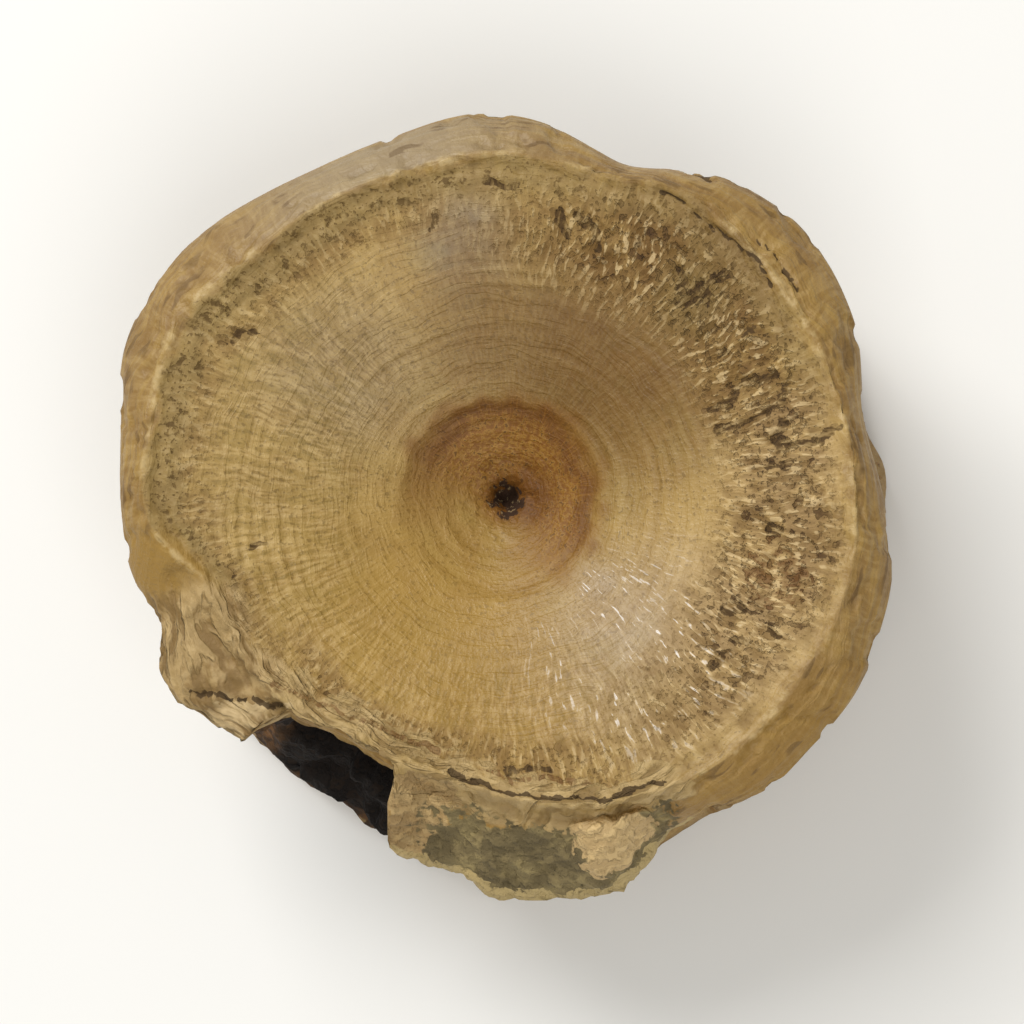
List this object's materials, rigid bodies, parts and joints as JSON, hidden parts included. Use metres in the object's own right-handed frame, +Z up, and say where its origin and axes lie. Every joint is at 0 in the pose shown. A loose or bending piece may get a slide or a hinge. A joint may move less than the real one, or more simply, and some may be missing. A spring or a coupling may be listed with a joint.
{
  "type": "fossil shark vertebra",
  "caption": "Drum-shaped fossil shark vertebra with a ringed cone in each end, a broken rim and open arch pits; lies on its back end.",
  "frame": {"origin": "middle of the footprint, on the surface that the fossil lies on", "axes": "+Z up through both cones, the front end facing up; the break in the front rim faces -X -Y"},
  "size_m": [0.0596, 0.0606, 0.0269],
  "materials": {
    "fossil_bone": "hard tan fossil bone, satin on the growth rings, brown in the middle, grey-green stone in one pit"
  },
  "bodies": {
    "root": {"vertebra": "fossil_bone"}
  },
  "joints": []
}
